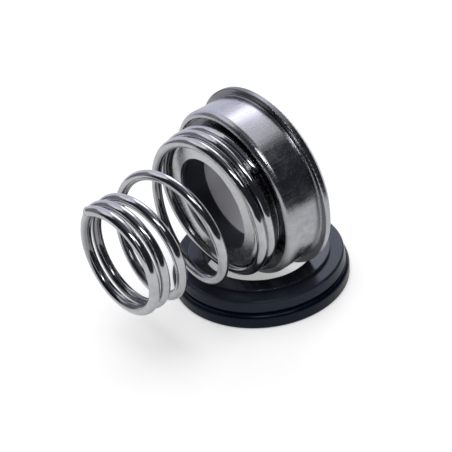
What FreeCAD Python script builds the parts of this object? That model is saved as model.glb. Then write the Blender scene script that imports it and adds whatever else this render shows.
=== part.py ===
# Component mechanical seal for a 16 mm shaft: a seat in a rubber cup, and a rotating head that
# leans with its rim in the seat's bore. The head is a steel shell, a rubber sleeve, a seal ring
# and a spring that grips the shell's collar.
# Row frame: origin on the seat's axis at the floor, +Z up. Millimetres.
import FreeCAD, Part
import math
import os

Vector = FreeCAD.Vector

# Shaft
shaft_diameter = 16.0

# Seat ring, carbon
seat_ring_shaft_clearance = 1.5
seat_ring_width = 2.85
seat_ring_stand = 0.6
seat_ring_chamfer = 0.2

# Seat cup, rubber
seat_web_height = 1.5
seat_web_setback = 0.7
seat_wall = 2.25
seat_wall_draft = 0.33
seat_flange_step = 0.57
seat_flange_height = 2.55
seat_flange_rounding = 0.8
seat_flange_bottom_rounding = 0.35
seat_groove_width = 0.35
seat_groove_depth = 0.38
seat_groove_rounding = 0.1
seat_band_height = 2.0
seat_band_rounding = 0.15
seat_shoulder_rounding = 0.45

# Rubber sleeve, whose wall sets the size of the collar
sleeve_wall = 2.75
sleeve_rounding = 0.4

# Spring wire
wire_diameter = 1.65

# Shell, stainless sheet. Places along the head's axis start at the collar's end face.
sheet = 0.5
shell_hole_clearance = 0.3
collar_length = 3.7
collar_end_rounding = 0.75
channel_depth = 0.8
channel_clearance = 0.68
crest_fold_gap = 0.15
crest_edge_rounding = 0.15
shell_corner_rounding = 1.0
shell_length = 7.5
lip_width = 1.15
lip_thickness = 0.95
lip_root_rounding = 0.3
lip_edge_rounding = 0.15
sheet_bend = 0.3

# Seal ring, ceramic
seal_ring_shaft_clearance = 0.9
seal_ring_fit = 0.04
seal_ring_back_gap = 0.05
seal_ring_flange_setback = 1.05
seal_ring_flange_gap = 0.05
seal_ring_flange_width = 0.95
seal_ring_chamfer = 0.3
seal_ring_flange_rounding = 0.1

# Spring: round wire, right-hand, a cone of open turns between closed turns at both ends.
# It leans off the head's axis beyond the collar, as it does when it hangs free.
spring_grip_gap = 0.02
spring_floor_gap = 0.2
spring_turns = 6.21
small_end_grip = 0.275
small_end_turns = 1.72
small_end_turn_gap = 0.35
small_end_ease_turns = 1.25
open_pitch = 8.4
cone_flare = 1.25
collar_turns = 1.9
collar_turn_gap = 0.02
collar_ease_turns = 0.3
collar_leave_place = 0.3
collar_turns_lift = 1.55
collar_lift_fade_turns = 0.45
spring_start_angle = -28.0
spring_lean_up = 4.5
spring_lean_side = 7.1
spring_lean_length = 13.0
steps_per_turn = 16
steps_per_face = 4

# Pose of the head on the seat
head_azimuth = 36.5
head_slope = 3.4
lip_past_bore_centre = 2.6
rest_gap = 0.06

# Corners of an outline nearer than this are one point
same_point = 1e-6

# Worked-out sizes and places
shaft_radius = shaft_diameter / 2
seat_ring_bore_radius = shaft_radius + seat_ring_shaft_clearance
seat_ring_outer_radius = seat_ring_bore_radius + seat_ring_width
seat_bottom_bore_radius = seat_ring_bore_radius + seat_web_setback
seat_shoulder_radius = seat_ring_outer_radius + seat_wall
seat_band_radius = seat_shoulder_radius + seat_wall_draft
seat_groove_radius = seat_band_radius - seat_groove_depth
seat_outer_radius = seat_band_radius + seat_flange_step
seat_shoulder_height = seat_flange_height + seat_groove_width + seat_band_height
seat_ring_top = seat_shoulder_height + seat_ring_stand
shell_hole_radius = shaft_radius + shell_hole_clearance
collar_radius = shaft_radius + sleeve_wall + sheet
channel_floor_place = collar_length + channel_depth
channel_outer_radius = collar_radius + spring_grip_gap + wire_diameter + channel_clearance
crest_width = 2 * sheet + crest_fold_gap
shell_radius = channel_outer_radius + crest_width
shell_inner_radius = shell_radius - sheet
lip_front_place = collar_length + shell_length
lip_back_place = lip_front_place - lip_thickness
lip_radius = shell_radius + lip_width
seal_ring_bore_radius = shaft_radius + seal_ring_shaft_clearance
seal_ring_flange_radius = lip_radius - seal_ring_flange_setback
small_end_radius = shaft_radius - small_end_grip + wire_diameter / 2
small_end_pitch = wire_diameter + small_end_turn_gap
collar_pitch = wire_diameter + collar_turn_gap
collar_end_radius = collar_radius + spring_grip_gap + wire_diameter / 2
last_turn_place = channel_floor_place - wire_diameter / 2 - spring_floor_gap


def rounded_outline(corners):
    """Closed wire in the XZ plane through (radius, height, rounding) corners."""
    spots = [Vector(radius, 0, height) for radius, height, rounding in corners]
    count = len(corners)
    starts = []
    ends = []
    arcs = []
    for index, (radius, height, rounding) in enumerate(corners):
        spot = spots[index]
        back = (spots[index - 1] - spot).normalize()
        ahead = (spots[(index + 1) % count] - spot).normalize()
        if rounding <= 0:
            starts.append(spot)
            ends.append(spot)
            arcs.append(None)
            continue
        half_angle = back.getAngle(ahead) / 2
        tangent = rounding / math.tan(half_angle)
        middle_distance = rounding / math.sin(half_angle) - rounding
        start = spot + back * tangent
        end = spot + ahead * tangent
        middle = spot + (back + ahead).normalize() * middle_distance
        starts.append(start)
        ends.append(end)
        arcs.append(Part.Arc(start, middle, end).toShape())
    edges = []
    for index in range(count):
        if arcs[index] is not None:
            edges.append(arcs[index])
        here = ends[index]
        there = starts[(index + 1) % count]
        if here.distanceToPoint(there) > same_point:
            edges.append(Part.LineSegment(here, there).toShape())
    return Part.Wire(edges)


def turned(corners):
    """Solid of revolution about Z of a rounded outline."""
    face = Part.Face(rounded_outline(corners))
    return face.revolve(Vector(0, 0, 0), Vector(0, 0, 1), 360)


def seat_cup():
    """Rubber cup: base flange, thin groove, band and shoulder round a pocket for the ring."""
    groove_bottom = seat_flange_height
    groove_top = seat_flange_height + seat_groove_width
    ledge = seat_outer_radius - seat_groove_radius
    ledge_rounding = min(seat_flange_rounding, ledge - seat_groove_rounding)
    return turned([
        (seat_bottom_bore_radius, 0, 0),
        (seat_outer_radius, 0, seat_flange_bottom_rounding),
        (seat_outer_radius, groove_bottom, ledge_rounding),
        (seat_groove_radius, groove_bottom, seat_groove_rounding),
        (seat_groove_radius, groove_top, seat_groove_rounding),
        (seat_band_radius, groove_top, seat_band_rounding),
        (seat_shoulder_radius, seat_shoulder_height, seat_shoulder_rounding),
        (seat_ring_outer_radius, seat_shoulder_height, 0),
        (seat_ring_outer_radius, seat_web_height, 0),
        (seat_bottom_bore_radius, seat_web_height, 0),
    ])


def seat_ring():
    """Carbon ring in the cup's pocket, standing out above the cup with its lapped face up."""
    return turned([
        (seat_ring_bore_radius, seat_web_height, 0),
        (seat_ring_outer_radius, seat_web_height, 0),
        (seat_ring_outer_radius, seat_ring_top, seat_ring_chamfer),
        (seat_ring_bore_radius, seat_ring_top, seat_ring_chamfer),
    ])


def shell():
    """Pressed shell: turned-in end, collar, channel for the last turn, cylinder and lip."""
    crest_inside = collar_length + sheet
    floor_inside = channel_floor_place + sheet
    fold_bend = crest_fold_gap / 2
    outside = [
        (shell_hole_radius, 0, 0),
        (collar_radius, 0, collar_end_rounding),
        (collar_radius, channel_floor_place, sheet_bend),
        (channel_outer_radius, channel_floor_place, sheet_bend),
        (channel_outer_radius, collar_length, crest_edge_rounding),
        (shell_radius, collar_length, min(shell_corner_rounding, crest_width - crest_edge_rounding)),
        (shell_radius, lip_back_place, lip_root_rounding),
        (lip_radius, lip_back_place, lip_edge_rounding),
        (lip_radius, lip_front_place, lip_edge_rounding),
    ]
    inside = [
        (shell_inner_radius, lip_front_place, sheet_bend),
        (shell_inner_radius, crest_inside, fold_bend),
        (channel_outer_radius + sheet, crest_inside, fold_bend),
        (channel_outer_radius + sheet, floor_inside, sheet_bend),
        (collar_radius - sheet, floor_inside, sheet_bend),
        (collar_radius - sheet, sheet, sheet_bend),
        (shell_hole_radius, sheet, 0),
    ]
    return turned(outside + inside)


def rubber_sleeve():
    """Sleeve that fills the collar behind the seal ring and seals on the shaft."""
    outer = collar_radius - sheet
    inner = shaft_radius
    low = sheet
    high = channel_floor_place + sheet
    return turned([
        (inner, low, sleeve_rounding),
        (outer, low, sheet_bend),
        (outer, high, 0),
        (inner, high, sleeve_rounding),
    ])


def seal_ring():
    """Ceramic ring in the shell, with a flange in front of the lip and a flat lapped face."""
    body_radius = shell_inner_radius - seal_ring_fit
    back = channel_floor_place + sheet + seal_ring_back_gap
    flange_back = lip_front_place + seal_ring_flange_gap
    face = flange_back + seal_ring_flange_width
    return turned([
        (seal_ring_bore_radius, back, seal_ring_chamfer),
        (body_radius, back, seal_ring_chamfer),
        (body_radius, flange_back, 0),
        (seal_ring_flange_radius, flange_back, seal_ring_flange_rounding),
        (seal_ring_flange_radius, face, seal_ring_chamfer),
        (seal_ring_bore_radius, face, seal_ring_chamfer),
    ])


def spring_pitch(turn):
    """Rise of the wire per turn, after a number of turns from the small end."""
    open_start = small_end_turns
    open_end = spring_turns - collar_turns
    if turn < open_start:
        return small_end_pitch
    if turn > open_end:
        return collar_pitch
    into = min((turn - open_start) / small_end_ease_turns, 1)
    out_of = min((open_end - turn) / collar_ease_turns, 1)
    return min(
        small_end_pitch + (open_pitch - small_end_pitch) * into,
        collar_pitch + (open_pitch - collar_pitch) * out_of,
    )


def spring_stations():
    """Turn, place along the axis and mean radius at each step of the wire."""
    steps = int(round(spring_turns * steps_per_turn))
    size = spring_turns / steps
    turns = [size * index for index in range(steps + 1)]
    places = [0.0]
    for index in range(steps):
        places.append(places[-1] + spring_pitch(turns[index] + size / 2) * size)
    places = [place - places[-1] + last_turn_place for place in places]
    cone_start = min(place for turn, place in zip(turns, places) if turn >= small_end_turns)
    closed_from = min(place for turn, place in zip(turns, places) if turn >= spring_turns - collar_turns)
    cone_end = min(closed_from, collar_leave_place)
    stations = []
    for turn, place in zip(turns, places):
        share = min(max((place - cone_start) / (cone_end - cone_start), 0), 1)
        radius = small_end_radius + (collar_end_radius - small_end_radius) * share ** cone_flare
        stations.append((turn, place, radius))
    return stations


def collar_lift(turn, angle):
    """How far a turn on the collar stands off the channel's floor, most on the head's left side."""
    collar_start = spring_turns - collar_turns
    share = min(max((turn - collar_start) / collar_lift_fade_turns + 1, 0), 1)
    return collar_turns_lift * share * ((1 - math.sin(angle)) / 2) ** 2


def leaned(place, up, side):
    """A point of the spring after its free turns have leaned off the axis."""
    lean_up = math.radians(spring_lean_up)
    lean_side = math.radians(spring_lean_side)
    back = max(-place, 0)
    share = min(back / spring_lean_length, 1)
    drift = back * share / 2 + max(back - spring_lean_length, 0) * share / 2
    along = place + (up * lean_up + side * lean_side) * share
    return Vector(up + lean_up * drift, side + lean_side * drift, along)


def short_spans(line, points):
    """The wire's centre line as a chain of short edges, so that each face of the wire stays short."""
    cuts = [line.parameter(point) for point in points[:-steps_per_face:steps_per_face]]
    cuts.append(line.LastParameter)
    return Part.Wire([line.toShape(start, end) for start, end in zip(cuts, cuts[1:])])


def spring():
    """Right-hand spring: a round wire swept along its helix."""
    points = []
    for turn, place, radius in spring_stations():
        angle = math.radians(spring_start_angle + 360 * turn)
        place -= collar_lift(turn, angle)
        points.append(leaned(place, radius * math.cos(angle), radius * math.sin(angle)))
    line = Part.BSplineCurve()
    line.interpolate(points)
    start_direction = line.tangent(line.FirstParameter)[0]
    section = Part.Wire([Part.makeCircle(wire_diameter / 2, points[0], start_direction)])
    swept = short_spans(line, points).makePipeShell([section], True, True)
    wanted = math.pi * wire_diameter ** 2 / 4 * line.length()
    print("spring length %.1f, volume %.1f of %.1f" % (line.length(), swept.Volume, wanted))
    return swept


def head_placement():
    """The head's axis leans on the seat, with the lip's front edge in the seat's bore."""
    azimuth = math.radians(head_azimuth)
    slope = math.radians(head_slope)
    along = Vector(math.cos(slope) * math.cos(azimuth), math.cos(slope) * math.sin(azimuth), math.sin(slope))
    up = Vector(-math.sin(slope) * math.cos(azimuth), -math.sin(slope) * math.sin(azimuth), math.cos(slope))
    side = along.cross(up)
    half_chord = math.sqrt(seat_ring_bore_radius ** 2 - lip_past_bore_centre ** 2)
    lift = math.sqrt(lip_radius ** 2 - half_chord ** 2)
    lip_centre = Vector(
        lip_past_bore_centre * math.cos(azimuth),
        lip_past_bore_centre * math.sin(azimuth),
        seat_ring_top + lift + rest_gap,
    )
    base = lip_centre - along * lip_front_place
    turn = FreeCAD.Rotation(up, side, along, "ZXY")
    return FreeCAD.Placement(base, turn)


def main():
    os.makedirs("parts", exist_ok=True)
    on_floor = {
        "seat_cup": seat_cup(),
        "seat_ring": seat_ring(),
    }
    on_head = {
        "shell": shell(),
        "rubber_sleeve": rubber_sleeve(),
        "seal_ring": seal_ring(),
        "spring": spring(),
    }
    placement = head_placement()
    for shape in on_head.values():
        shape.Placement = placement
    for name, shape in {**on_floor, **on_head}.items():
        shape.exportStep("parts/" + name + ".step")


main()
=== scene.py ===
# Looks of a component mechanical seal: steel, rubber, carbon and ceramic finishes, a smooth
# spring and a small white studio. Metres throughout.
import bpy
import math
from mathutils import Matrix, Vector

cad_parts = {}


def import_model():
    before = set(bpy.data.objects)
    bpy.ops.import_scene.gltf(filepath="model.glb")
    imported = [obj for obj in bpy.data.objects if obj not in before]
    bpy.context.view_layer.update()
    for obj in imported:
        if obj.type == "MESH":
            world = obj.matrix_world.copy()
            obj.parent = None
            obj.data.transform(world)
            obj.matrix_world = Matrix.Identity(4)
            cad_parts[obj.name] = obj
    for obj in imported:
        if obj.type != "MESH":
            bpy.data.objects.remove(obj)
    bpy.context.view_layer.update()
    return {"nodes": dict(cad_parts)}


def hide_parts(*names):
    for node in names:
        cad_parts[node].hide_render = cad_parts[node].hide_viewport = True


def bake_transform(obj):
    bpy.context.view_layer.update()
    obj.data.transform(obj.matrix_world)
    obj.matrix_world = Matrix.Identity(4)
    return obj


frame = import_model()

MM = 0.001

# Camera at the photograph's viewing angle, in degrees
camera_place = (0.0, -127.83 * MM, 94.50 * MM)
camera_yaw = -2.32
camera_pitch_down = 33.33
camera_roll = 6.865
camera_lens = 71.68
camera_sensor = 36.0
camera_nearest = 1 * MM

# The head's axis, in degrees, and the centre of the collar's end face
head_azimuth = 36.5
head_slope = 3.4
head_base = Vector((-6.897, -5.104, 17.908)) * MM

# Spring: places lie along the head's axis, 0 at the collar's end, and angles are in degrees
wire_diameter = 1.65 * MM
spring_turns = 6.21
small_end_radius = 8.55 * MM
small_end_turns = 1.72
small_end_pitch = 2.0 * MM
small_end_ease_turns = 1.25
open_pitch = 8.4 * MM
cone_flare = 1.25
collar_turns = 1.9
collar_pitch = 1.67 * MM
collar_ease_turns = 0.3
collar_end_radius = 12.095 * MM
last_turn_place = 3.475 * MM
collar_turns_lift = 1.55 * MM
collar_lift_fade_turns = 0.45
spring_start_angle = -28.0
spring_lean_up = 4.5
spring_lean_side = 7.1
spring_lean_length = 13.0 * MM
wire_steps_per_turn = 64
wire_sides = 28
cut_end_bevel = 0.08 * MM

# Studio
floor_half_width = 3.0
floor_colour = (0.84, 0.84, 0.85)
floor_lift = 0.37
floor_lift_in_gloss = 0.08
world_light = 0.5
world_seen = 1.0
card_distance = 92 * MM
lit_card_inset = 2 * MM
card_centre = Vector((-4.0, -3.0, 0.0)) * MM
card_face_degrees = 6
disc_sides = 48
black = (0.020, 0.022, 0.029)
dark_grey = (0.10, 0.10, 0.112)
dim_grey = (0.22, 0.22, 0.246)
lavender = (0.74, 0.74, 0.89)
bright_white = (4.0, 4.0, 4.1)
brightest_white = (9.0, 9.0, 9.2)


def unit_axes():
    """The head's axis, and its up and side directions."""
    azimuth = math.radians(head_azimuth)
    slope = math.radians(head_slope)
    along = Vector((
        math.cos(slope) * math.cos(azimuth),
        math.cos(slope) * math.sin(azimuth),
        math.sin(slope),
    ))
    up = Vector((
        -math.sin(slope) * math.cos(azimuth),
        -math.sin(slope) * math.sin(azimuth),
        math.cos(slope),
    ))
    return along, up, along.cross(up)


along, up, side = unit_axes()


def add_object(name, data):
    """A new object in the scene with this data."""
    made = bpy.data.objects.new(name, data)
    bpy.context.scene.collection.objects.link(made)
    return made


# The spring's wire

def spring_pitch(turn):
    """Rise of the wire per turn, after a number of turns from the small end."""
    open_end = spring_turns - collar_turns
    if turn < small_end_turns:
        return small_end_pitch
    if turn > open_end:
        return collar_pitch
    into = min((turn - small_end_turns) / small_end_ease_turns, 1)
    out_of = min((open_end - turn) / collar_ease_turns, 1)
    return min(
        small_end_pitch + (open_pitch - small_end_pitch) * into,
        collar_pitch + (open_pitch - collar_pitch) * out_of,
    )


def collar_lift(turn, angle):
    """How far a turn on the collar stands off the channel's floor, most on the head's left side."""
    collar_start = spring_turns - collar_turns
    share = min(max((turn - collar_start) / collar_lift_fade_turns + 1, 0), 1)
    return collar_turns_lift * share * ((1 - math.sin(angle)) / 2) ** 2


def leaned(place, height, width):
    """A point of the spring after its free turns have leaned off the axis."""
    lean_up = math.radians(spring_lean_up)
    lean_side = math.radians(spring_lean_side)
    back = max(-place, 0)
    share = min(back / spring_lean_length, 1)
    drift = back * share / 2 + max(back - spring_lean_length, 0) * share / 2
    forward = place + (height * lean_up + width * lean_side) * share
    return (
        head_base
        + along * forward
        + up * (height + lean_up * drift)
        + side * (width + lean_side * drift)
    )


def wire_line():
    """Points along the middle of the wire, from the small end to the channel."""
    steps = round(spring_turns * wire_steps_per_turn)
    size = spring_turns / steps
    turns = [size * index for index in range(steps + 1)]
    places = [0.0]
    for turn in turns[:-1]:
        places.append(places[-1] + spring_pitch(turn + size / 2) * size)
    places = [place - places[-1] + last_turn_place for place in places]
    cone_start = min(p for t, p in zip(turns, places) if t >= small_end_turns)
    cone_end = min(p for t, p in zip(turns, places) if t >= spring_turns - collar_turns)
    points = []
    for turn, place in zip(turns, places):
        share = min(max((place - cone_start) / (cone_end - cone_start), 0), 1)
        radius = small_end_radius + (collar_end_radius - small_end_radius) * share ** cone_flare
        angle = math.radians(spring_start_angle + 360 * turn)
        place -= collar_lift(turn, angle)
        points.append(leaned(place, radius * math.cos(angle), radius * math.sin(angle)))
    return points


def wire_stations(points):
    """Middle, direction and radius of each section of the wire, with a bevel at both cut ends."""
    directions = []
    for index in range(len(points)):
        ahead = points[min(index + 1, len(points) - 1)]
        behind = points[max(index - 1, 0)]
        directions.append((ahead - behind).normalized())
    first, last = directions[0], directions[-1]
    radius = wire_diameter / 2
    stations = [(point, direction, radius) for point, direction in zip(points, directions)]
    stations[0] = (points[0] + first * cut_end_bevel, first, radius)
    stations[-1] = (points[-1] - last * cut_end_bevel, last, radius)
    stations.insert(0, (points[0], first, radius - cut_end_bevel))
    stations.append((points[-1], last, radius - cut_end_bevel))
    return stations


def wire_mesh(name, points):
    """A round wire along the points. Its UV map holds the length along it and the share round it."""
    vertices = []
    lengths = []
    travelled = 0.0
    last = points[0]
    for point, direction, radius in wire_stations(points):
        travelled += (point - last).length
        last = point
        lengths.append(travelled)
        out = (point - head_base - along * (point - head_base).dot(along)).normalized()
        across = direction.cross(out).normalized()
        out = across.cross(direction)
        for step in range(wire_sides):
            angle = 2 * math.pi * step / wire_sides
            vertices.append(point + (out * math.cos(angle) + across * math.sin(angle)) * radius)
    faces = []
    uvs = []
    for ring in range(len(lengths) - 1):
        start, end = lengths[ring], lengths[ring + 1]
        for step in range(wire_sides):
            a = ring * wire_sides + step
            b = ring * wire_sides + (step + 1) % wire_sides
            faces.append((a, b, b + wire_sides, a + wire_sides))
            low = step / wire_sides
            high = (step + 1) / wire_sides
            uvs += [(start, low), (start, high), (end, high), (end, low)]
    faces.append(tuple(reversed(range(wire_sides))))
    faces.append(tuple(range(len(vertices) - wire_sides, len(vertices))))
    uvs += [(0.0, 0.0)] * wire_sides + [(travelled, 0.0)] * wire_sides
    mesh = bpy.data.meshes.new(name)
    mesh.from_pydata(vertices, [], faces)
    layer = mesh.uv_layers.new(name="UVMap")
    for loop, uv in zip(layer.data, uvs):
        loop.uv = uv
    for polygon in mesh.polygons:
        polygon.use_smooth = len(polygon.vertices) == 4
    mesh.update()
    return add_object(name, mesh)


def blend_by_sections(wire):
    """Draws each section of the wire to its middle, bakes the object's transform, and then puts the wire's
    surface back.
    """
    vertices = wire.data.vertices
    surface = [vertex.co.copy() for vertex in vertices]
    for first in range(0, len(vertices), wire_sides):
        middle = sum(surface[first:first + wire_sides], Vector()) / wire_sides
        for index in range(first, first + wire_sides):
            vertices[index].co = middle
    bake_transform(wire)
    for vertex, spot in zip(vertices, surface):
        vertex.co = spot
    wire.data.update()


# Materials

class Nodes:
    """A material's or world's node tree, with short calls for the nodes that are used."""

    def __init__(self, owner):
        owner.use_nodes = True
        self.owner = owner
        self.tree = owner.node_tree

    def add(self, kind, **settings):
        node = self.tree.nodes.new(kind)
        for key, value in settings.items():
            setattr(node, key, value)
        return node

    def feed(self, node, values):
        """Links a socket's value where it is another node's output, and else sets it."""
        for socket, value in values.items():
            if isinstance(value, bpy.types.NodeSocket):
                self.tree.links.new(value, node.inputs[socket])
            else:
                node.inputs[socket].default_value = value

    def math(self, operation, first, second=0.0):
        node = self.add("ShaderNodeMath", operation=operation)
        self.feed(node, {0: first, 1: second})
        return node.outputs[0]

    def times(self, first, second):
        return self.math("MULTIPLY", first, second)

    def dot(self, vector, direction):
        node = self.add("ShaderNodeVectorMath", operation="DOT_PRODUCT")
        self.feed(node, {0: vector, 1: direction})
        return node.outputs["Value"]

    def split(self, vector):
        node = self.add("ShaderNodeSeparateXYZ")
        self.feed(node, {0: vector})
        return node.outputs

    def noise(self, vector, scale, detail, roughness=0.55):
        node = self.add("ShaderNodeTexNoise")
        self.feed(node, {"Vector": vector, "Scale": scale, "Detail": detail, "Roughness": roughness})
        return node.outputs["Fac"]

    def streaks(self, coordinates, scales, detail, roughness=0.55, seed=0.0):
        """Noise with a scale of its own for each coordinate, so that it is drawn out into lines."""
        node = self.add("ShaderNodeCombineXYZ")
        self.feed(node, {2: seed})
        for socket, (coordinate, scale) in enumerate(zip(coordinates, scales)):
            self.feed(node, {socket: self.times(coordinate, scale)})
        return self.noise(node.outputs[0], 1.0, detail, roughness)

    def spread(self, value, source, target):
        """Carries a value from one range to another, and holds it at the ends."""
        node = self.add("ShaderNodeMapRange", clamp=True)
        self.feed(node, {"Value": value})
        self.feed(node, {"From Min": source[0], "From Max": source[1]})
        self.feed(node, {"To Min": target[0], "To Max": target[1]})
        return node.outputs["Result"]

    def rise(self, value, zone, top=1.0):
        """0 below the zone and top above it."""
        return self.spread(value, zone, (0.0, top))

    def fall(self, value, zone, bottom=0.0):
        """1 below the zone and bottom above it."""
        return self.spread(value, zone, (1.0, bottom))

    def mix(self, share, first, second):
        """A colour between two, which are numbers or another node's output."""
        node = self.add("ShaderNodeMix", data_type="RGBA")
        colours = {"Factor": share}
        for name, colour in (("A", first), ("B", second)):
            socket = [i for i, s in enumerate(node.inputs) if s.name == name and s.type == "RGBA"][0]
            colours[socket] = colour if isinstance(colour, bpy.types.NodeSocket) else (*colour, 1.0)
        self.feed(node, colours)
        return [s for s in node.outputs if s.type == "RGBA"][0]

    def bump(self, height, strength, distance, over=None):
        node = self.add("ShaderNodeBump")
        self.feed(node, {"Strength": strength, "Distance": distance, "Height": height})
        if over is not None:
            self.feed(node, {"Normal": over})
        return node.outputs["Normal"]

    def coordinates(self, kind):
        return self.add("ShaderNodeTexCoord").outputs[kind]

    def place(self):
        return self.coordinates("Object")

    def polar(self, first, second):
        """Length and angle of the vector with these two parts."""
        squares = self.math("ADD", self.times(first, first), self.times(second, second))
        return self.math("SQRT", squares), self.math("ARCTAN2", second, first)

    def head_coordinates(self):
        """Place along the head's axis, radius, and angle from its upper side, in metres and radians."""
        moved = self.add("ShaderNodeVectorMath", operation="SUBTRACT")
        self.feed(moved, {0: self.place(), 1: head_base})
        from_base = moved.outputs[0]
        radius, angle = self.polar(self.dot(from_base, up), self.dot(from_base, side))
        return self.dot(from_base, along), radius, angle

    def seen_by(self, *kinds):
        """1 for the named kinds of ray, else 0."""
        rays = self.add("ShaderNodeLightPath").outputs
        seen = rays[kinds[0]]
        for kind in kinds[1:]:
            seen = self.math("MAXIMUM", seen, rays[kind])
        return seen

    def finish(self, values):
        """Gives the material's shader these values, and returns the material."""
        self.feed(self.tree.nodes["Principled BSDF"], values)
        return self.owner

    def show(self, shader):
        """Makes this shader the material's whole surface, and returns the material."""
        self.feed(self.tree.nodes["Material Output"], {"Surface": shader.outputs[0]})
        self.tree.nodes.remove(self.tree.nodes["Principled BSDF"])
        return self.owner


def new_material(name):
    """The nodes of a new material."""
    return Nodes(bpy.data.materials.new(name))


# Noise lies mostly in this range, over which a finish goes from its one end to the other
whole_noise = (0.3, 0.7)


def shell_steel():
    """Drawn stainless sheet, satin and finely lined along the axis, with painted light and shade: darker
    low down, lighter on top, lighter on the crest's low side, dark in its channel and at its lip.
    """
    shaded_low_dark = (0.36, 0.365, 0.39)
    shaded_low_light = (0.49, 0.50, 0.525)
    lit_upper_dark = (0.50, 0.505, 0.53)
    lit_upper_light = (0.57, 0.575, 0.60)
    pale_colour = (0.64, 0.645, 0.66)
    painted_shade_colour = (0.13, 0.132, 0.145)

    # Places along the axis, and radii, over which the finish changes
    end_face_places = (0.1 * MM, 0.4 * MM)
    channel_places = (3.2 * MM, 3.4 * MM)
    crest_places = (4.6 * MM, 6.2 * MM)
    crest_radii = (13.35 * MM, 13.5 * MM)
    brushed_radii = (13.5 * MM, 14.3 * MM)
    lip_approach_places = (8.8 * MM, 9.8 * MM)
    lip_back_places = (9.95 * MM, 10.15 * MM)
    lip_edge_radii = (15.65 * MM, 15.8 * MM)
    mean_radius = 15 * MM

    # Cosine of the angle from the head's upper side
    upper_side = (-0.2, 0.7)
    lower_side = (-0.45, 0.05)
    topmost_side = (0.45, 0.8)

    # Amounts
    shaded_low_noise = (0.38, 0.62)
    channel_shade = 0.9
    lip_back_shade = 0.6
    lip_top_shade = 0.8
    shade_left_low = 0.35
    line_roughness = (0.17, 0.30)
    blotch_noise = (0.3, 0.75)
    blotch_roughness = (-0.03, 0.08)
    low_side_roughness = 0.22
    channel_line_share = 0.2

    n = new_material("shell_steel")
    place, radius, angle = n.head_coordinates()
    upness = n.math("COSINE", angle)
    around = n.times(angle, mean_radius)
    lines = n.streaks((around, place), scales=(6000, 110), detail=4.0, roughness=0.65)
    fine = n.streaks((around, place), scales=(26000, 900), detail=2.0, seed=3.0)
    blotch = n.noise(n.place(), scale=600.0, detail=5.0, roughness=0.65)

    # Painted shade and light: the lower side is darker and the upper side lighter, with random blotches in
    # both.
    shaded_low = n.mix(n.rise(blotch, shaded_low_noise), shaded_low_dark, shaded_low_light)
    lit_upper = n.mix(n.rise(blotch, whole_noise), lit_upper_dark, lit_upper_light)
    low = n.fall(upness, lower_side)
    # Painted reflection: the low side of the crest and of the lip's approach is lighter and rougher. The
    # collar's end face is also lighter.
    crest = n.times(n.fall(place, crest_places), n.rise(radius, crest_radii))
    low_side_sheen = n.times(n.math("MAXIMUM", crest, n.rise(place, lip_approach_places)), low)
    bright = n.math("MAXIMUM", n.fall(place, end_face_places), low_side_sheen)
    steel = n.mix(bright, n.mix(n.rise(upness, upper_side), shaded_low, lit_upper), pale_colour)

    # Painted shade: darker in the channel, behind the lip and on the lip's top, and less so on the lower
    # side.
    in_channel = n.times(n.rise(place, channel_places, channel_shade), n.fall(radius, crest_radii))
    behind_lip = n.times(n.rise(place, lip_back_places, lip_back_shade), n.fall(radius, lip_edge_radii))
    lip_top = n.times(n.rise(place, lip_back_places, lip_top_shade), n.rise(upness, topmost_side))
    painted_shade = n.math("MAXIMUM", in_channel, n.math("MAXIMUM", behind_lip, lip_top))
    painted_shade_share = n.times(painted_shade, n.fall(low, (0.0, 1.0), shade_left_low))

    satin = n.spread(lines, whole_noise, line_roughness)
    blotchy = n.math("ADD", satin, n.spread(blotch, blotch_noise, blotch_roughness))
    brushed = n.times(lines, n.spread(radius, brushed_radii, (channel_line_share, 1.0)))
    line_bump = n.bump(brushed, strength=0.28, distance=0.004 * MM)
    return n.finish({
        "Base Color": n.mix(painted_shade_share, steel, painted_shade_colour),
        "Metallic": 1.0,
        "Roughness": n.math("ADD", blotchy, n.times(low_side_sheen, low_side_roughness)),
        "Normal": n.bump(fine, strength=0.15, distance=0.002 * MM, over=line_bump),
    })


def spring_steel(wire_length):
    """Bright drawn wire with faint lines along it, with painted shade on the coil's inner side and a cut
    end painted nearly black as shade.
    """
    dark = (0.52, 0.525, 0.54)
    light = (0.61, 0.615, 0.63)
    inner_shade_colour = (0.24, 0.245, 0.255)
    cut_end_shade_colour = (0.05, 0.05, 0.055)
    soil_noise = (0.35, 0.7)
    inner_side_middle = 0.5
    inner_side_reach = (0.11, 0.23)
    inner_shade_share = 0.85
    cut_end_lengths = (wire_length - 0.5 * MM, wire_length - 0.1 * MM)

    n = new_material("spring_steel")
    length, around, _ = n.split(n.coordinates("UV"))
    lines = n.streaks((length, around), scales=(500, 30), detail=3.0)
    soil = n.noise(n.place(), scale=900.0, detail=3.0)
    bright = n.mix(n.rise(soil, soil_noise), dark, light)
    # Painted shade: the coil's inner side is darker.
    off_middle = n.math("ABSOLUTE", n.math("SUBTRACT", around, inner_side_middle))
    inner_side = n.spread(off_middle, inner_side_reach, (inner_shade_share, 0.0))
    inner_shaded = n.mix(inner_side, bright, inner_shade_colour)
    return n.finish({
        # Painted shade: the wire's last half millimetre is nearly black, so that the cut end sits in the
        # channel's shade.
        "Base Color": n.mix(n.rise(length, cut_end_lengths), inner_shaded, cut_end_shade_colour),
        "Metallic": 1.0,
        "Roughness": n.spread(lines, whole_noise, (0.09, 0.16)),
        "Normal": n.bump(lines, strength=0.15, distance=0.003 * MM),
    })


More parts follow.
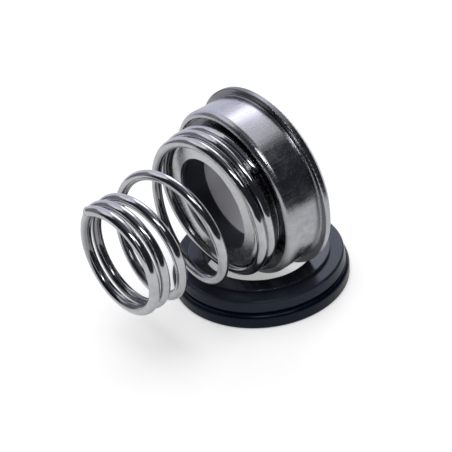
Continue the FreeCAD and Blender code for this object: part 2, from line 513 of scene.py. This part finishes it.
def rubber(name, dark, light, roughness, painted_shade_below=None):
    """Moulded black rubber with a fine skin and a faint bloom. Where a height is given, it is painted
    darker below it, as painted shade near the floor, and the bloom begins above it.
    """
    below_shade_colour = (0.001, 0.003, 0.009)
    bloom_noise = (0.35, 0.7)
    shade_fade = 0.2 * MM

    n = new_material(name)
    bloom = n.noise(n.place(), scale=260.0, detail=5.0, roughness=0.6)
    grain = n.noise(n.place(), scale=5200.0, detail=2.0)
    colour = n.mix(n.rise(bloom, bloom_noise), dark, light)
    # Painted shade: below the height the rubber is nearly black, and above it lighter, as if lit from
    # above.
    if painted_shade_below is not None:
        height = n.split(n.place())[2]
        lit_above = n.rise(height, (painted_shade_below, painted_shade_below + shade_fade))
        colour = n.mix(lit_above, below_shade_colour, colour)
    return n.finish({
        "Base Color": colour,
        "Roughness": n.spread(bloom, whole_noise, roughness),
        "IOR": 1.36,
        "Specular Tint": (0.62, 0.74, 1.0, 1.0),
        "Normal": n.bump(grain, strength=0.2, distance=0.006 * MM),
    })


def carbon():
    """Lapped carbon: nearly black, with fine rings on a silky face."""
    dark = (0.010, 0.012, 0.015)
    light = (0.018, 0.021, 0.027)
    speck_noise = (0.4, 0.7)

    n = new_material("carbon")
    x, y, _ = n.split(n.place())
    radius, angle = n.polar(x, y)
    speck = n.noise(n.place(), scale=2600.0, detail=3.0)
    rings = n.streaks((radius, angle), scales=(16000, 3), detail=2.0)
    return n.finish({
        "Base Color": n.mix(n.rise(speck, speck_noise), dark, light),
        "Roughness": n.spread(rings, whole_noise, (0.15, 0.22)),
        "IOR": 1.52,
        "Specular Tint": (0.70, 0.78, 1.0, 1.0),
        "Normal": n.bump(rings, strength=0.06, distance=0.002 * MM),
    })


def ceramic():
    """Ground ceramic: off-white outside with faint grains, smoother on its face, with its bore painted
    darker and lavender as painted shade.
    """
    shaded_bore_dark = (0.46, 0.45, 0.49)
    shaded_bore_light = (0.52, 0.51, 0.55)
    white_dark = (0.80, 0.80, 0.80)
    white_light = (0.87, 0.87, 0.88)
    grain_colour = (0.70, 0.69, 0.68)
    bore_radii = (9.0 * MM, 9.3 * MM)
    face_places = (12.1 * MM, 12.15 * MM)
    bore_noise = (0.35, 0.7)
    grain_noise = (0.45, 0.75)
    grain_share = 0.35
    face_roughness_share = 0.35

    n = new_material("seal_ceramic")
    place, radius, angle = n.head_coordinates()
    cloud = n.noise(n.place(), scale=180.0, detail=3.0)
    grains = n.noise(n.place(), scale=2800.0, detail=3.0)
    ground = n.streaks((place, angle, radius), scales=(9000, 2, 9000), detail=2.0)
    # Painted shade: the bore is darker and lavender.
    bore = n.mix(n.rise(cloud, bore_noise), shaded_bore_dark, shaded_bore_light)
    clouded = n.mix(n.rise(cloud, whole_noise), white_dark, white_light)
    white = n.mix(n.rise(grains, grain_noise, grain_share), clouded, grain_colour)
    on_face = n.fall(place, face_places, face_roughness_share)
    return n.finish({
        "Base Color": n.mix(n.rise(radius, bore_radii), bore, white),
        "Roughness": n.times(n.spread(ground, whole_noise, (0.28, 0.40)), on_face),
        "Normal": n.bump(ground, strength=0.1, distance=0.003 * MM),
    })


def dress(node, material):
    """Gives a CAD node its finish."""
    mesh = frame["nodes"][node].data
    mesh.materials.clear()
    mesh.materials.append(material)


# Studio

def floor():
    """Pale floor that keeps the shadow and is lifted to white where nothing shades it."""
    n = new_material("floor")
    diffuse = n.add("ShaderNodeBsdfDiffuse")
    n.feed(diffuse, {"Color": (*floor_colour, 1.0)})
    lift = n.add("ShaderNodeEmission")
    seen = n.times(n.seen_by("Is Camera Ray", "Is Transmission Ray"), floor_lift)
    mirrored = n.times(n.seen_by("Is Glossy Ray"), floor_lift_in_gloss)
    n.feed(lift, {"Color": (1.0, 1.0, 1.0, 1.0), "Strength": n.math("ADD", seen, mirrored)})
    both = n.add("ShaderNodeAddShader")
    n.feed(both, {0: diffuse.outputs[0], 1: lift.outputs[0]})

    half = floor_half_width
    corners = [(-half, -half, 0), (half, -half, 0), (half, half, 0), (-half, half, 0)]
    mesh = bpy.data.meshes.new("floor")
    mesh.from_pydata(corners, [], [(0, 1, 2, 3)])
    mesh.materials.append(n.show(both))
    add_object("floor", mesh)


def finish_card(card, colour):
    """Makes a card glow in one colour, for the object's reflections alone."""
    n = new_material(card.name)
    glow = n.add("ShaderNodeEmission")
    n.feed(glow, {"Color": (*colour, 1.0)})
    card.data.materials.append(n.show(glow))
    card.visible_camera = False
    card.visible_diffuse = False
    card.visible_transmission = False
    card.visible_shadow = False


def round_card(name, colour, azimuths, heights, distance):
    """An upright card bent round the object. Azimuth 0 is +Y and 90 is +X."""
    start, end = azimuths
    count = max(2, round(abs(end - start) / card_face_degrees))
    vertices = []
    for index in range(count + 1):
        azimuth = math.radians(start + (end - start) * index / count)
        spot = card_centre + Vector((math.sin(azimuth), math.cos(azimuth), 0)) * distance
        vertices += [(spot.x, spot.y, height) for height in heights]
    faces = [(2 * i, 2 * i + 2, 2 * i + 3, 2 * i + 1) for i in range(count)]
    mesh = bpy.data.meshes.new(name)
    mesh.from_pydata(vertices, [], faces)
    finish_card(add_object(name, mesh), colour)


def top_card(name, colour, centre, radius):
    """A round card overhead."""
    bpy.ops.mesh.primitive_circle_add(
        vertices=disc_sides, radius=radius, fill_type="NGON", location=card_centre + centre
    )
    card = bpy.context.object
    card.name = name
    finish_card(card, colour)


def cards():
    """Dark and light cards round the object, for the bands that its steel reflects."""
    far = 3 * card_distance
    farthest = 5 * card_distance
    near = card_distance - lit_card_inset
    round_card("right_flag", black, azimuths=(53, 190), heights=(0.0, 172 * MM), distance=card_distance)
    round_card("left_flag", black, azimuths=(-170, -92), heights=(0.0, 560 * MM), distance=far)
    round_card("back_left_flag", dim_grey, azimuths=(-92, -52), heights=(0.0, 200 * MM), distance=far)
    round_card("back_sheet", lavender, azimuths=(-52, 66), heights=(0.0, 900 * MM), distance=farthest)
    top_card("top_flag", dark_grey, centre=Vector((-5, -30, 168)) * MM, radius=78 * MM)
    round_card(
        "front_strip",
        bright_white,
        azimuths=(138, 150),
        heights=(95 * MM, 230 * MM),
        distance=near,
    )
    round_card(
        "front_spot",
        brightest_white,
        azimuths=(168, 192),
        heights=(112 * MM, 150 * MM),
        distance=near,
    )


def lamp(name, spot, target, size, power, colour, glossy=True):
    """A rectangular area light that the camera doesn't see."""
    data = bpy.data.lights.new(name, "AREA")
    data.shape = "RECTANGLE"
    data.size, data.size_y = size
    data.energy = power
    data.color = colour
    light = add_object(name, data)
    light.location = spot
    light.rotation_euler = (Vector(target) - Vector(spot)).to_track_quat("-Z", "Y").to_euler()
    light.visible_camera = False
    light.visible_glossy = glossy


def lamps():
    """A back light that the steel reflects, and a top light that it doesn't."""
    lamp(
        "back_softbox",
        spot=(0.09, 0.33, 0.28),
        target=(0.0, 0.0, 0.015),
        size=(0.18, 0.28),
        power=0.24,
        colour=(0.97, 0.97, 1.0),
    )
    lamp(
        "top_softbox",
        spot=(-0.02, -0.05, 0.45),
        target=(0.0, 0.0, 0.0),
        size=(0.30, 0.30),
        power=0.7,
        colour=(1.0, 1.0, 1.0),
        glossy=False,
    )


def world():
    """Soft light all round, with a plain white background."""
    made = bpy.data.worlds.new("studio")
    bpy.context.scene.world = made
    n = Nodes(made)
    seen = n.seen_by("Is Camera Ray", "Is Glossy Ray", "Is Transmission Ray")
    strength = n.spread(seen, (0.0, 1.0), (world_light, world_seen))
    n.feed(n.tree.nodes["Background"], {"Color": (1.0, 1.0, 1.0, 1.0), "Strength": strength})


def camera():
    """The camera that the photograph was taken from, as fitted to its outlines."""
    data = bpy.data.cameras.new("camera")
    data.sensor_width = camera_sensor
    data.lens = camera_lens
    data.clip_start = camera_nearest
    made = add_object("camera", data)
    turn = (
        Matrix.Rotation(math.radians(-camera_yaw), 4, "Z")
        @ Matrix.Rotation(math.radians(90 - camera_pitch_down), 4, "X")
        @ Matrix.Rotation(math.radians(-camera_roll), 4, "Z")
    )
    made.matrix_world = Matrix.Translation(camera_place) @ turn
    bpy.context.scene.camera = made


# Scene

# The seat's rubber is black, and its blue tint is a painted reflection of the lavender sheet.
seat_rubber = rubber(
    "seat_rubber",
    dark=(0.014, 0.017, 0.025),
    light=(0.020, 0.024, 0.034),
    roughness=(0.20, 0.28),
    painted_shade_below=2.55 * MM,
)
sleeve_rubber = rubber(
    "sleeve_rubber",
    dark=(0.010, 0.011, 0.014),
    light=(0.018, 0.019, 0.024),
    roughness=(0.35, 0.5),
)
for node, slot, material in (
    ("shell", "shell_steel", shell_steel()),
    ("seat_cup", "seat_rubber", seat_rubber),
    ("rubber_sleeve", "sleeve_rubber", sleeve_rubber),
    ("seat_ring", "carbon", carbon()),
    ("seal_ring", "seal_ceramic", ceramic()),
):
    dress(node, material)

wire_points = wire_line()
wire_length = sum((b - a).length for a, b in zip(wire_points, wire_points[1:]))
wire = wire_mesh("spring_wire", wire_points)
wire.data.materials.append(spring_steel(wire_length))
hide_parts("spring")
blend_by_sections(wire)

floor()
cards()
lamps()
world()
camera()

bpy.context.scene.view_settings.view_transform = "Standard"
